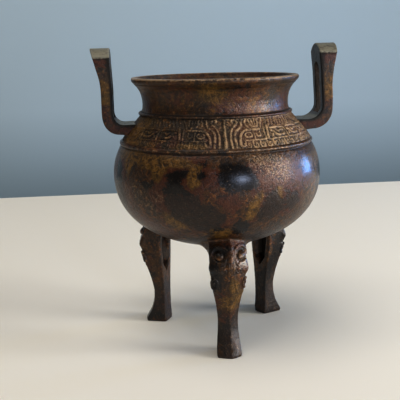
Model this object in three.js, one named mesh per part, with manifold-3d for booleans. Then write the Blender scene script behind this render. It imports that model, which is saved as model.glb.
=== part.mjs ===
// Bronze ding: a small tripod censer cast in one piece, with a round belly, a waisted neck, a carved
// shoulder band, two upright loop ears and three cabriole legs with animal masks.
// Millimetres, +Z up. The origin is on the axis, at the level of the soles. The front is -Y.
import * as THREE from "three";
import { mergeVertices } from "three/addons/utils/BufferGeometryUtils.js";
import Module from "manifold-3d";

const wasm = await Module();
wasm.setup();

// Vessel, turned about Z
const BELLY_RADIUS = 58.5;
const BELLY_CENTRE_Z = 95;
const BELLY_HALF_HEIGHT = 41;
const BELLY_LOW_POWER = 2.2;
const WALL = 3;
const RIDGE_RADIUS = 54.1;
const RIDGE_Z = 113;
const RIDGE_HEIGHT = 1.6;
const BAND_LOW = { r: 53.3, z: 114.2 };
const BAND_HIGH = { r: 42.9, z: 127 };
const BAND_BULGE = 0.4;
const COLLAR_TOP_Z = 129.7;
const NECK_RADIUS = 40.6;
const NECK_WAIST_Z = 133.6;
const LIP_RADIUS = 46.65;
const LIP_INNER_RADIUS = 43.4;
const LIP_TOP_Z = 148.4;
const LIP_THICKNESS = 2;
const OUTER_SEGMENTS = 40;
const INNER_SEGMENTS = 30;

// Ears: flat bars that leave the shoulder, turn up and flare, pierced as loops. The pair stands turned
// a little about the axis, in degrees.
const EAR_TURN = -1.8;
const EAR_INNER_X = 57.9;
const EAR_ARM_TOP_Z = 123.4;
const EAR_ARM_THICKNESS = 6;
const EAR_ARM_RISE = 0.8;
const EAR_INNER_BEND = 6.9;
const EAR_OUTER_BEND = 10.4;
const EAR_WAIST = { thickness: 5.4, z: 140 };
const EAR_TOP = { thickness: 10, z: 164.7 };
const EAR_WIDTH = 22.5;
const EAR_CROWN_RISE = 4.5;
const EAR_SLOT_WIDTH = 11;
const EAR_SLOT = { low: 126.5, high: 154.5 };
const EAR_SEGMENTS = { bend: 5, crown: 8, slot: 6 };

// Legs: u is the distance from the axis, w the distance from the leg's middle plane
const LEG_AZIMUTHS = [0, 123.5, -117.5];
const LEG_FILLET = { back: 9.5, corner: 1.8, facet: 1.6, keel: 1.5 };
const LEG_STATIONS = [
    { z: 0, back: 33.2, backHalf: 4.4, corner: 44.8, half: 6.5, keel: 47.7 },
    { z: 0.9, back: 33, backHalf: 4.8, corner: 45.4, half: 7, keel: 48.4 },
    { z: 4, back: 33.2, backHalf: 4.7, corner: 43.4, half: 6.8, keel: 46.3 },
    { z: 8, back: 33.4, backHalf: 4.5, corner: 41.2, half: 6.3, keel: 43.9 },
    { z: 14, back: 33.5, backHalf: 4.4, corner: 39.8, half: 5.7, keel: 42.3 },
    { z: 20, back: 33.5, backHalf: 4.6, corner: 39.7, half: 5.5, keel: 42.2 },
    { z: 27, back: 33.6, backHalf: 5.4, corner: 41, half: 6.2, keel: 43.8 },
    { z: 33, back: 33.6, backHalf: 6.2, corner: 42.5, half: 7.3, keel: 45.6 },
    { z: 38, back: 33.7, backHalf: 7.2, corner: 43.9, half: 8.5, keel: 47.4 },
    { z: 44, back: 33.8, backHalf: 8, corner: 45.2, half: 9.4, keel: 49 },
    { z: 50, back: 33.8, backHalf: 8.5, corner: 45.3, half: 9.8, keel: 49.9 },
    { z: 57, back: 33.6, backHalf: 8.8, corner: 43.8, half: 10, keel: 48.8 },
    { z: 61, back: 33.4, backHalf: 8.8, corner: 41.7, half: 9.7, keel: 46.6 },
    { z: 64, back: 33.2, backHalf: 8.7, corner: 39.8, half: 9.4, keel: 44.6 },
    { z: 68, back: 33, backHalf: 8.6, corner: 37.6, half: 9, keel: 41.6 },
];
const LEG_ROWS = [0, 0.9, 4, 8, 14, 20, 27, 33, 38, 44, 50, 54, 57, 59.5, 62, 64.5, 67];
const LEG_CORNER_ROUND = 1.1;
const LEG_RECESS = { floor: 39.5, depth: 20, half: 6, waistHalf: 4.3, waistZ: 37, pointZ: 31, top: 58 };
const MASK_EYE = { w: 6.4, z: 56, turn: 38, stud: [[0, 1.5], [1.3, 1.2], [1.9, 0.1], [2.8, 0.9], [3.7, -0.9]] };
const MASK_CURLS = [
    { w: 7.6, z: 48.9, turn: 45, stud: [[0, -0.2], [1.5, 0.8], [2.7, -0.9]] },
    { w: 7.6, z: 41.6, turn: 50, stud: [[0, -0.2], [1.6, 0.9], [2.8, -0.9]] },
];
const STUD_SEGMENTS = 7;
const MASK_BROW = { length: 8, thick: 1.1, z: 60.4, tilt: 24, turn: 30 };

// Relief of the shoulder band. On the band s is the distance round it from a mask's nose, h the
// distance down the slope from the collar; both in mm.
const BAND_MEAN_RADIUS = 48;
const NOSE_AZIMUTHS = [-1.2, 178.8];
const RELIEF_RAISE = 0.8;
const RELIEF_SINK = 0.7;
const RELIEF_SLOPE = 0.25;
const NOSE = { top: 0.2, low: 16.2, half: 2, raise: 1.5 };
const SCROLL_WIDTH = 2;
const EYE = { s: 11.9, h: 9.2, half: 2.1, height: 1.5, raise: 1.1 };
const UPPER_ROW = { top: 0.7, deep: 3.9, slant: 1.6, width: 2, first: 7.8, pitch: 8 };
const LOWER_ROW = { top: 13, low: 16, span: 3, width: 1.3, first: 13, pitch: 9.6 };
const ROW_REACH = 50;

const bronze = new THREE.MeshStandardMaterial({ color: 0x4b3728, roughness: 0.42, metalness: 0.9 });

// The closed geometry as a manifold solid: shared vertices merged, collapsed triangles dropped.
function solidOf(geometry) {
    const bare = geometry.index ? geometry.toNonIndexed() : geometry.clone();
    bare.deleteAttribute("normal");
    bare.deleteAttribute("uv");
    const merged = mergeVertices(bare, 1e-4);
    const index = merged.index.array;
    const kept = [];
    for (let i = 0; i < index.length; i += 3) {
        const [a, b, c] = [index[i], index[i + 1], index[i + 2]];
        if (a !== b && b !== c && c !== a) {
            kept.push(a, b, c);
        }
    }
    return new wasm.Manifold(new wasm.Mesh({
        numProp: 3,
        vertProperties: new Float32Array(merged.attributes.position.array),
        triVerts: new Uint32Array(kept),
    }));
}

function geometryOf(solid) {
    const mesh = solid.getMesh();
    const geometry = new THREE.BufferGeometry();
    geometry.setAttribute("position", new THREE.BufferAttribute(mesh.vertProperties, 3));
    geometry.setIndex(new THREE.BufferAttribute(mesh.triVerts, 1));
    geometry.computeVertexNormals();
    return geometry;
}

// A solid turned about the vessel's axis
function spun(solid, degrees) {
    const geometry = geometryOf(solid);
    geometry.rotateZ(THREE.MathUtils.degToRad(degrees));
    return solidOf(geometry);
}

function mix(a, b, t) {
    return a + (b - a) * t;
}

// Belly: a superellipse in section, r^n + z^n = 1, fuller below its middle than above it
function bellyRadius(z, inset = 0) {
    const power = z < BELLY_CENTRE_Z ? BELLY_LOW_POWER : 2;
    const t = Math.min(1, Math.abs(z - BELLY_CENTRE_Z) / (BELLY_HALF_HEIGHT - inset));
    return (BELLY_RADIUS - inset) * Math.pow(1 - Math.pow(t, power), 1 / power);
}

function bellyUnderside(r) {
    const t = Math.min(1, r / BELLY_RADIUS);
    return BELLY_CENTRE_Z - BELLY_HALF_HEIGHT * Math.pow(1 - Math.pow(t, BELLY_LOW_POWER), 1 / BELLY_LOW_POWER);
}

// Points of the belly's section from the middle of its underside up to height top
function bellyCurve(top, inset, steps) {
    const points = [];
    for (let i = 0; i <= steps; i += 1) {
        const angle = (i / steps) * (Math.PI / 2);
        const share = Math.pow(Math.cos(angle), 2 / BELLY_LOW_POWER);
        const z = BELLY_CENTRE_Z - (BELLY_HALF_HEIGHT - inset) * share;
        points.push(new THREE.Vector2(i === 0 ? 0 : bellyRadius(z, inset), z));
    }
    const risers = Math.ceil(steps / 3);
    for (let i = 1; i <= risers; i += 1) {
        const z = mix(BELLY_CENTRE_Z, top, i / risers);
        points.push(new THREE.Vector2(bellyRadius(z, inset), z));
    }
    return points;
}

// The shoulder band in section: a shallow convex curve from the collar down to the ridge
function bandCurve() {
    const low = new THREE.Vector2(BAND_LOW.r, BAND_LOW.z);
    const high = new THREE.Vector2(BAND_HIGH.r, BAND_HIGH.z);
    const out = new THREE.Vector2(low.y - high.y, high.x - low.x).normalize().multiplyScalar(-2 * BAND_BULGE);
    const middle = low.clone().lerp(high, 0.5).add(out);
    return new THREE.QuadraticBezierCurve(high, middle, low);
}

// Neck and flare: a cavetto that leaves the collar upright and turns out under the lip
function neckCurve(inset, steps) {
    const foot = new THREE.Vector2(NECK_RADIUS + 0.5 - inset, COLLAR_TOP_Z + 0.5);
    const waist = new THREE.Vector2(NECK_RADIUS - inset, NECK_WAIST_Z);
    const flare = new THREE.Vector2(LIP_RADIUS - 0.9 - inset, LIP_TOP_Z - LIP_THICKNESS - 0.5);
    const rise = new THREE.Vector2(waist.x, mix(waist.y, flare.y, 0.55));
    const turn = new THREE.Vector2(mix(waist.x, flare.x, 0.45), mix(waist.y, flare.y, 0.85));
    const curve = new THREE.CubicBezierCurve(waist, rise, turn, flare);
    return [foot, ...curve.getPoints(steps)];
}

function turned(points, segments) {
    const geometry = new THREE.LatheGeometry(points, segments);
    geometry.rotateX(Math.PI / 2);
    return solidOf(geometry);
}

function vesselBlank() {
    const grooveZ = RIDGE_Z - RIDGE_HEIGHT / 2 - 0.5;
    const points = [
        ...bellyCurve(grooveZ, 0, 9),
        new THREE.Vector2(RIDGE_RADIUS, RIDGE_Z - RIDGE_HEIGHT / 2),
        new THREE.Vector2(RIDGE_RADIUS, RIDGE_Z + RIDGE_HEIGHT / 2),
        ...bandCurve().getPoints(2).reverse(),
        new THREE.Vector2(BAND_HIGH.r, COLLAR_TOP_Z),
        ...neckCurve(0, 4),
        new THREE.Vector2(LIP_RADIUS - 0.2, LIP_TOP_Z - LIP_THICKNESS),
        new THREE.Vector2(LIP_RADIUS, LIP_TOP_Z - 0.4),
        new THREE.Vector2(LIP_RADIUS - 0.5, LIP_TOP_Z),
        new THREE.Vector2(0, LIP_TOP_Z),
    ];
    return turned(points, OUTER_SEGMENTS);
}

function cavity() {
    const shoulderZ = BAND_LOW.z - 2;
    const points = [
        ...bellyCurve(shoulderZ, WALL, 6),
        new THREE.Vector2(BAND_HIGH.r - WALL, BAND_HIGH.z - 1.5),
        ...neckCurve(WALL, 3).slice(1),
        new THREE.Vector2(LIP_INNER_RADIUS, LIP_TOP_Z - 0.6),
        new THREE.Vector2(LIP_INNER_RADIUS, LIP_TOP_Z + 2),
        new THREE.Vector2(0, LIP_TOP_Z + 2),
    ];
    return turned(points, INNER_SEGMENTS);
}

// Side outline of the right-hand ear in the X-Z plane
function earSide() {
    const armLowZ = EAR_ARM_TOP_Z - EAR_ARM_THICKNESS;
    const root = BAND_HIGH.r + 1.5;
    const bendLowZ = armLowZ + EAR_ARM_RISE;
    const innerBend = { x: EAR_INNER_X - EAR_INNER_BEND, z: EAR_ARM_TOP_Z + EAR_INNER_BEND };
    const outerBend = { x: EAR_INNER_X + EAR_ARM_THICKNESS - EAR_OUTER_BEND, z: bendLowZ + EAR_OUTER_BEND };
    const top = EAR_TOP.z + 2;
    const shape = new THREE.Shape();
    shape.moveTo(root, EAR_ARM_TOP_Z + 0.6);
    shape.lineTo(root, armLowZ - 1);
    shape.lineTo(outerBend.x, bendLowZ);
    shape.absarc(outerBend.x, outerBend.z, EAR_OUTER_BEND, -Math.PI / 2, 0, false);
    shape.quadraticCurveTo(EAR_INNER_X + EAR_WAIST.thickness - 0.4, EAR_WAIST.z,
        EAR_INNER_X + mix(EAR_WAIST.thickness, EAR_TOP.thickness, 0.4), mix(EAR_WAIST.z, EAR_TOP.z, 0.6));
    shape.lineTo(EAR_INNER_X + EAR_TOP.thickness + 0.6, top);
    shape.lineTo(EAR_INNER_X + 0.4, top);
    shape.lineTo(EAR_INNER_X, EAR_WAIST.z);
    shape.absarc(innerBend.x, innerBend.z, EAR_INNER_BEND, 0, -Math.PI / 2, true);
    return shape;
}

// Face of the ear in the Y-Z plane: straight sides, then a low arch that springs from a sharp arris
function earFace() {
    const half = EAR_WIDTH / 2;
    const spring = EAR_TOP.z - EAR_CROWN_RISE;
    const radius = (half * half + EAR_CROWN_RISE * EAR_CROWN_RISE) / (2 * EAR_CROWN_RISE);
    const sweep = Math.asin(half / radius);
    const shape = new THREE.Shape();
    shape.moveTo(-half, EAR_ARM_TOP_Z - EAR_ARM_THICKNESS - 5);
    shape.lineTo(half, EAR_ARM_TOP_Z - EAR_ARM_THICKNESS - 5);
    shape.lineTo(half, spring);
    shape.absarc(0, EAR_TOP.z - radius, radius, Math.PI / 2 - sweep, Math.PI / 2 + sweep, false);
    return shape;
}

function earSlot() {
    const half = EAR_SLOT_WIDTH / 2;
    const shape = new THREE.Shape();
    shape.moveTo(-half, EAR_SLOT.low);
    shape.lineTo(half, EAR_SLOT.low);
    shape.lineTo(half, EAR_SLOT.high - half);
    shape.absarc(0, EAR_SLOT.high - half, half, 0, Math.PI, false);
    return shape;
}

// A shape drawn in the X-Z plane, run along Y
function alongY(shape, width, curveSegments) {
    const geometry = new THREE.ExtrudeGeometry(shape, { depth: width, bevelEnabled: false, curveSegments });
    geometry.translate(0, 0, -width / 2);
    geometry.rotateX(Math.PI / 2);
    return solidOf(geometry);
}

// A shape drawn in the Y-Z plane, run along X from start
function alongX(shape, start, length, curveSegments) {
    const geometry = new THREE.ExtrudeGeometry(shape, { depth: length, bevelEnabled: false, curveSegments });
    geometry.rotateX(Math.PI / 2);
    geometry.rotateZ(Math.PI / 2);
    geometry.translate(start, 0, 0);
    return solidOf(geometry);
}

function ear() {
    const reach = 40;
    const side = alongY(earSide(), EAR_WIDTH + 4, EAR_SEGMENTS.bend);
    const face = alongX(earFace(), BAND_HIGH.r - 2, reach, EAR_SEGMENTS.crown);
    const slot = alongX(earSlot(), BAND_HIGH.r + 4, reach, EAR_SEGMENTS.slot);
    return side.intersect(face).subtract(slot);
}

// How far a fillet of the given radius has spread sideways at height z, for a leg surface that
// would stand at [w, u] without it. It grows from nothing, one radius below the belly, to the full
// radius where it meets the belly's underside.
function filletSpread(w, u, z, radius, outward) {
    let [least, most] = [0, radius];
    for (let step = 0; step < 14; step += 1) {
        const spread = (least + most) / 2;
        const under = bellyUnderside(Math.hypot(w + outward[0] * spread, u + outward[1] * spread));
        const gap = Math.min(radius, Math.max(0, under - z));
        const wanted = radius - Math.sqrt(radius * radius - (radius - gap) * (radius - gap));
        if (wanted > spread) {
            least = spread;
        } else {
            most = spread;
        }
    }
    return least;
}

// One cross-section of a leg at height z, as [w, u] points: a flat back, straight sides that open
// towards the front, and two front facets that meet on a keel. Under the belly each point moves
// outwards along its fillet, widest at the back corners and least on the keel.
function legSection(z) {
    const upper = LEG_STATIONS.findIndex((station) => station.z >= z);
    const high = LEG_STATIONS[Math.max(upper, 1)];
    const low = LEG_STATIONS[Math.max(upper, 1) - 1];
    const t = (z - low.z) / (high.z - low.z);
    const at = (key) => mix(low[key], high[key], t);
    const round = LEG_CORNER_ROUND;
    const right = [
        [at("backHalf") - round, at("back"), LEG_FILLET.back],
        [at("backHalf"), at("back") + round, LEG_FILLET.back],
        [at("half"), at("corner") - round, LEG_FILLET.corner],
        [at("half") - round * 0.6, at("corner") + round * 0.5, LEG_FILLET.corner],
        [at("half") * 0.45, mix(at("corner"), at("keel"), 0.68), LEG_FILLET.facet],
    ];
    const left = right.map(([w, u, radius]) => [-w, u, radius]).reverse();
    const outline = [...right, [0, at("keel"), LEG_FILLET.keel], ...left];
    const middle = mix(at("back"), at("keel"), 0.6);
    return outline.map(([w, u, radius]) => {
        const reach = Math.hypot(w, u - middle);
        const outward = [w / reach, (u - middle) / reach];
        const spread = filletSpread(w, u, z, radius, outward);
        return [w + outward[0] * spread, u + outward[1] * spread];
    });
}

// A closed skin over rows of points that run anticlockwise seen from above, lowest row first
function loft(rows) {
    const count = rows[0].length;
    const position = rows.flat().flatMap((point) => point.toArray());
    const index = [];
    for (let row = 0; row + 1 < rows.length; row += 1) {
        for (let i = 0; i < count; i += 1) {
            const next = (i + 1) % count;
            const [a, b] = [row * count + i, row * count + next];
            index.push(a, b, b + count, a, b + count, a + count);
        }
    }
    const top = (rows.length - 1) * count;
    const centres = [rows[0], rows[rows.length - 1]].map((row) => {
        const sum = row.reduce((total, point) => total.add(point), new THREE.Vector3());
        return sum.divideScalar(count);
    });
    centres.forEach((centre) => position.push(...centre.toArray()));
    const lowCentre = rows.length * count;
    for (let i = 0; i < count; i += 1) {
        const next = (i + 1) % count;
        index.push(lowCentre, next, i);
        index.push(lowCentre + 1, top + i, top + next);
    }
    const geometry = new THREE.BufferGeometry();
    geometry.setAttribute("position", new THREE.Float32BufferAttribute(position, 3));
    geometry.setIndex(index);
    return solidOf(geometry);
}

// The cast hollow in a leg's flat back: wide above, closing to a point below
function legRecess() {
    const shape = new THREE.Shape();
    shape.moveTo(0, LEG_RECESS.pointZ);
    shape.lineTo(LEG_RECESS.waistHalf, LEG_RECESS.waistZ);
    shape.lineTo(LEG_RECESS.half, LEG_RECESS.top);
    shape.lineTo(-LEG_RECESS.half, LEG_RECESS.top);
    shape.lineTo(-LEG_RECESS.waistHalf, LEG_RECESS.waistZ);
    const geometry = new THREE.ExtrudeGeometry(shape, { depth: LEG_RECESS.depth, bevelEnabled: false });
    geometry.rotateX(Math.PI / 2);
    geometry.translate(0, LEG_RECESS.depth - LEG_RECESS.floor, 0);
    return solidOf(geometry);
}

// Distance u of a leg's front facet from the axis, at height z and offset w
function frontFacet(w, z) {
    const outline = legSection(z).slice(3, 6).reverse();
    const place = Math.abs(w);
    const upper = Math.max(1, outline.findIndex(([width]) => width >= place));
    const [low, high] = [outline[upper - 1], outline[upper]];
    return mix(low[1], high[1], (place - low[0]) / (high[0] - low[0]));
}

// Puts a small carved form that rises along +Y on a leg's front, turned to face outwards
function onLeg(geometry, w, z, turn) {
    geometry.rotateX(Math.PI);
    geometry.rotateZ(THREE.MathUtils.degToRad(turn));
    geometry.translate(w, -frontFacet(w, z), z);
    return solidOf(geometry);
}

// A round stud of the given section; its last ring lies inside the leg and closes it
function stud(section) {
    const outline = section.map(([r, height]) => new THREE.Vector2(r, height));
    const base = new THREE.Vector2(0, outline[outline.length - 1].y);
    return new THREE.LatheGeometry([...outline, base].reverse(), STUD_SEGMENTS);
}

function mask() {
    const parts = [];
    for (const side of [-1, 1]) {
        for (const { w, z, turn, stud: section } of [MASK_EYE, ...MASK_CURLS]) {
            parts.push(onLeg(stud(section), side * w, z, side * turn));
        }
        const brow = new THREE.CapsuleGeometry(MASK_BROW.thick, MASK_BROW.length, 1, 4);
        brow.rotateX(Math.PI / 2);
        brow.rotateY(Math.PI / 2 + side * THREE.MathUtils.degToRad(MASK_BROW.tilt));
        parts.push(onLeg(brow, side * MASK_BROW.length * 0.5, MASK_BROW.z, side * MASK_BROW.turn));
    }
    return parts;
}

function leg(azimuth) {
    const rows = LEG_ROWS.map((z) => legSection(z).map(([w, u]) => new THREE.Vector3(w, -u, z)).reverse());
    const body = loft(rows).subtract(legRecess());
    const whole = mask().reduce((sum, part) => sum.add(part), body);
    return spun(whole, azimuth);
}

// Point of the band at distance s round and h down it, raised by lift along the surface's normal
const band = bandCurve();
const BAND_LENGTH = band.getLength();
function onBand(s, h, lift, nose) {
    const t = Math.min(1, Math.max(0, h / BAND_LENGTH));
    const point = band.getPointAt(t);
    const along = band.getTangentAt(t);
    const overrun = h - t * BAND_LENGTH;
    const r = point.x + along.x * overrun - along.y * lift;
    const z = point.y + along.y * overrun + along.x * lift;
    const angle = s / BAND_MEAN_RADIUS + THREE.MathUtils.degToRad(nose);
    return new THREE.Vector3(r * Math.sin(angle), -r * Math.cos(angle), z);
}

// A raised line of relief along a path of [s, h] points, with sloping sides
function ribbon(path, width, raise, nose) {
    const points = path.map(([s, h]) => new THREE.Vector2(s, h));
    const base = width / 2 + RELIEF_SLOPE;
    const crest = width / 2 - RELIEF_SLOPE;
    const rows = points.map((point, i) => {
        const before = points[Math.max(0, i - 1)];
        const after = points[Math.min(points.length - 1, i + 1)];
        const along = after.clone().sub(before).normalize();
        const across = new THREE.Vector2(-along.y, along.x);
        const corner = (offset, lift) => onBand(point.x + across.x * offset, point.y + across.y * offset, lift, nose);
        return [corner(-base, -RELIEF_SINK), corner(base, -RELIEF_SINK), corner(crest, raise), corner(-crest, raise)];
    });
    const solid = loft(rows);
    return solid.volume() > 0 ? solid : loft(rows.map((row) => row.reverse()));
}

// The masks' big scroll: a bar over the eye that turns down beside the nose and curls in below
function scrollPath() {
    const bar = [[19.6, 6.1], [12.6, 6.1]];
    const sweep = new THREE.CubicBezierCurve(new THREE.Vector2(10.6, 6.4), new THREE.Vector2(6.8, 7.8),
        new THREE.Vector2(5.7, 11), new THREE.Vector2(6, 14)).getPoints(4);
    const curl = [[7.2, 15.8], [8.9, 15.2]];
    return [...bar, ...sweep.map((point) => [point.x, point.y]), ...curl];
}

function bandRelief() {
    const halfPanel = [
        { path: scrollPath(), width: SCROLL_WIDTH },
        { path: [[3.6, 1], [4.4, 5], [3.6, 10]], width: 1.2 },
        { path: [[22, 5], [22, 12]], width: 2.4 },
        { path: [[26.3, 6.6], [26.5, 8.4], [28.1, 10.4], [31.7, 6.5], [32.6, 10.4]], width: 1.3 },
        { path: [[35.4, 10.4], [39.4, 6.5], [40.3, 10.4]], width: 1.4 },
        { path: [[43.4, 10.4], [47.4, 6.5], [48.3, 10.4]], width: 1.4 },
        { path: [[51.4, 10.4], [54.4, 6.5]], width: 1.4 },
    ];
    for (let at = UPPER_ROW.first; at < ROW_REACH; at += UPPER_ROW.pitch) {
        halfPanel.push({ path: [[at, UPPER_ROW.top], [at - UPPER_ROW.slant, UPPER_ROW.deep]], width: UPPER_ROW.width });
    }
    for (let at = LOWER_ROW.first; at < ROW_REACH; at += LOWER_ROW.pitch) {
        const hook = [[at, LOWER_ROW.low], [at, LOWER_ROW.top], [at + LOWER_ROW.span, LOWER_ROW.top]];
        halfPanel.push({ path: hook, width: LOWER_ROW.width });
    }
    const parts = [];
    for (const nose of NOSE_AZIMUTHS) {
        for (const side of [-1, 1]) {
            for (const { path, width } of halfPanel) {
                parts.push(ribbon(path.map(([s, h]) => [s * side, h]), width, RELIEF_RAISE, nose));
            }
            const eyePath = [[EYE.s - EYE.half, EYE.h], [EYE.s, EYE.h], [EYE.s + EYE.half, EYE.h]];
            parts.push(ribbon(eyePath.map(([s, h]) => [s * side, h]), EYE.height * 2, EYE.raise, nose));
        }
        parts.push(noseRidge(nose));
    }
    return parts;
}

// The mask's nose: a roof-shaped ridge down the band, narrow at its top
function noseRidge(nose) {
    const rows = [NOSE.top, NOSE.top + 4, NOSE.low].map((h, i) => {
        const half = i === 0 ? NOSE.half * 0.3 : NOSE.half;
        return [onBand(-half, h, -RELIEF_SINK, nose), onBand(half, h, -RELIEF_SINK, nose), onBand(0, h, NOSE.raise, nose)];
    });
    const solid = loft(rows);
    return solid.volume() > 0 ? solid : loft(rows.map((row) => row.reverse()));
}

function ding() {
    const rightEar = spun(ear(), EAR_TURN);
    const leftEar = spun(rightEar, 180);
    const additions = [rightEar, leftEar, ...LEG_AZIMUTHS.map(leg), ...bandRelief()];
    const whole = additions.reduce((sum, part) => sum.add(part), vesselBlank());
    return whole.subtract(cavity());
}

const group = new THREE.Group();
const body = new THREE.Mesh(geometryOf(ding()), bronze);
body.name = "ding";
group.add(body);

export default group;
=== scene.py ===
"""A cast bronze ding with a brown patina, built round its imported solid: the bowl, the carved shoulder
band, two loop ears and three masked legs. Shapes are worked out in millimetres and stored in metres."""
import math

import bpy
import numpy as np
from mathutils import Matrix, Vector


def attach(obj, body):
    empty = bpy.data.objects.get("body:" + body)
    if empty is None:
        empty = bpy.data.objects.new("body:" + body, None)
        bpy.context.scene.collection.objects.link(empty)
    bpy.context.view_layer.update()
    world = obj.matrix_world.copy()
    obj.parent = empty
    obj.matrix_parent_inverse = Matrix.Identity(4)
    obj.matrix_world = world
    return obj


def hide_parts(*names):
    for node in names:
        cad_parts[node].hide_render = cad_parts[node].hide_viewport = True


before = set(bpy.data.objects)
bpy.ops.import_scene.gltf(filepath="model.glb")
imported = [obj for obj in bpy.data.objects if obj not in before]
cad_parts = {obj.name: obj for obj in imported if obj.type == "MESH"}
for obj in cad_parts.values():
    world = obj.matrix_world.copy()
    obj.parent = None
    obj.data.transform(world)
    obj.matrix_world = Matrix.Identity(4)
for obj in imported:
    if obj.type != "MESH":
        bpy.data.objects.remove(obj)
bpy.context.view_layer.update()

# Bowl: belly, ridge, collar, neck and lip, one thin bronze casting. The outside was filed and
# polished on a wheel, the inside left as cast. Between ridge and collar the wall lies a little
# deeper, because the carved shoulder band sits over it.
MM = 0.001
BELLY_RADIUS = 58.5
BELLY_HEIGHT = 95
BELLY_LOW = 41
BELLY_HIGH = 41.5
BELLY_LOW_POWER = 2.2
WALL = 3
BOWL_OUTSIDE = [
    (53.75, 110.9), (53.45, 111.15), (53.4, 111.7), (54.0, 112.05), (54.25, 112.7), (54.15, 113.4),
    (53.6, 113.9), (52.2, 114.6), (48.6, 119.6), (45.3, 123.2), (41.8, 127.2), (41.9, 128.0), (43.0, 128.15),
    (43.15, 128.9), (42.85, 129.35), (42.3, 129.5), (41.75, 129.45), (41.5, 129.75), (41.15, 130.2),
    (40.75, 132), (40.65, 134), (40.8, 136.2), (41.35, 138.7), (42.25, 141), (43.5, 143), (44.75, 144.35),
    (45.2, 144.7), (45.25, 145.05), (45.8, 145.45), (46.45, 146.2), (46.75, 147.2), (46.6, 147.9),
    (46.1, 148.35),
]
BOWL_INSIDE = [
    (44.1, 148.4), (43.3, 148.0), (42.6, 146.2), (41.2, 143.6), (39.4, 141.2), (38.2, 138), (37.7, 134),
    (37.9, 130), (39.3, 126.4), (44, 119.8), (48.6, 113.6),
]
OUTLINE_STEP = 0.1
OUTLINE_BLURS = 14
BOWL_COLUMNS = 360
BOWL_ROWS = 260
# How close the rows lie on the belly and inside, and how much closer from the ridge up and on the neck
ROW_DETAIL = {"belly": 0.55, "inside": 0.35, "ridge": 3.2, "neck": 0.6}
RIDGE_LEVEL = 110.4
NECK_LEVEL = 127
LIP_REACH = 3
INSIDE_REACH = 6
# Slow waves of hand work: height in mm, waves in a turn, radians a mm upwards, and radians at the start
HAND_WAVES = [(0.11, 3, 0.05, 0), (0.08, 5, -0.09, 1.3), (0.05, 9, 0.17, 0.6)]
# On the belly one degree is about 1 mm round, and 1 mm of height is a little more along the wall
ROUND_MM = 1.0
RISE_MM = 1.15
FAR = 99.0
TINY = 1e-9
BOWL_ROUGHNESS = 0.34


def softened(values, times, axis=0, wrap=False):
    """Values blurred along one axis: each turn replaces a value by a quarter, a half and a quarter of its
    neighbours and itself. On a wrapping axis the last value is the first one's neighbour."""
    values = np.moveaxis(np.array(values, float), axis, 0)
    for _ in range(times):
        before, after = np.roll(values, 1, 0), np.roll(values, -1, 0)
        if not wrap:
            before[0], after[-1] = values[0], values[-1]
        values = (before + 2 * values + after) / 4
    return np.moveaxis(values, 0, axis)


def soft_step(t):
    """0 below 0, 1 above 1, and the cubic 3t^2 - 2t^3 between."""
    t = np.clip(t, 0, 1)
    return t * t * (3 - 2 * t)


def bell(offset, width):
    """1 where the offset is 0, falling off to both sides as e to the power of minus (offset / width)^2."""
    return np.exp(-(offset / width) ** 2)


def belly_underside(r):
    """Height of the belly's underside at distance r from the axis, from the superellipse
    (r/R)^n + (z/B)^n = 1."""
    share = np.clip(np.asarray(r, float) / BELLY_RADIUS, 0, 1)
    return BELLY_HEIGHT - BELLY_LOW * (1 - share ** BELLY_LOW_POWER) ** (1 / BELLY_LOW_POWER)


def belly_curve(inset, top, steps):
    """Section of the belly from the middle of its underside to a height: the superellipse below its
    widest line, an ellipse above it, both drawn in by the wall's thickness."""
    turn = np.linspace(0, math.pi / 2, steps)
    wide, low, high = BELLY_RADIUS - inset, BELLY_LOW - inset, BELLY_HIGH - inset
    under = np.stack([wide * np.sin(turn) ** (2 / BELLY_LOW_POWER),
                      BELLY_HEIGHT - low * np.cos(turn) ** (2 / BELLY_LOW_POWER)], 1)
    rise = np.linspace(0, math.asin((top - BELLY_HEIGHT) / high), steps // 3)[1:]
    over = np.stack([wide * np.cos(rise), BELLY_HEIGHT + high * np.sin(rise)], 1)
    return np.concatenate([under, over])


def length_along(points):
    """Distance along an outline to each of its points, the running sum of its steps."""
    return np.r_[0, np.cumsum(np.hypot(*np.diff(points, axis=0).T))]


def points_at(at, along, points):
    """Points of an outline at some distances along it, on straight lines between the known ones."""
    return np.stack([np.interp(at, along, points[:, 0]), np.interp(at, along, points[:, 1])], 1)


def fine_outline(points, step):
    """The same outline with points every step along its length."""
    points = np.array(points, float)
    along = length_along(points)
    return points_at(np.linspace(0, along[-1], int(along[-1] / step) + 1), along, points)


def spread_rows(outline, detail, count):
    """Count points of a fine outline, closer together where detail is larger: equal steps of the
    running sum of detail."""
    running = np.cumsum(detail)
    index = np.arange(len(outline))
    at = np.interp(np.linspace(running[0], running[-1], count), running, index)
    return points_at(at, index, outline)


def round_grid(radius, turn, height):
    """Points round the vessel's axis, turned from the front: radius times the sine, minus radius times the
    cosine, and the height."""
    return np.stack([radius * np.sin(turn), -radius * np.cos(turn), height], -1)


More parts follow.
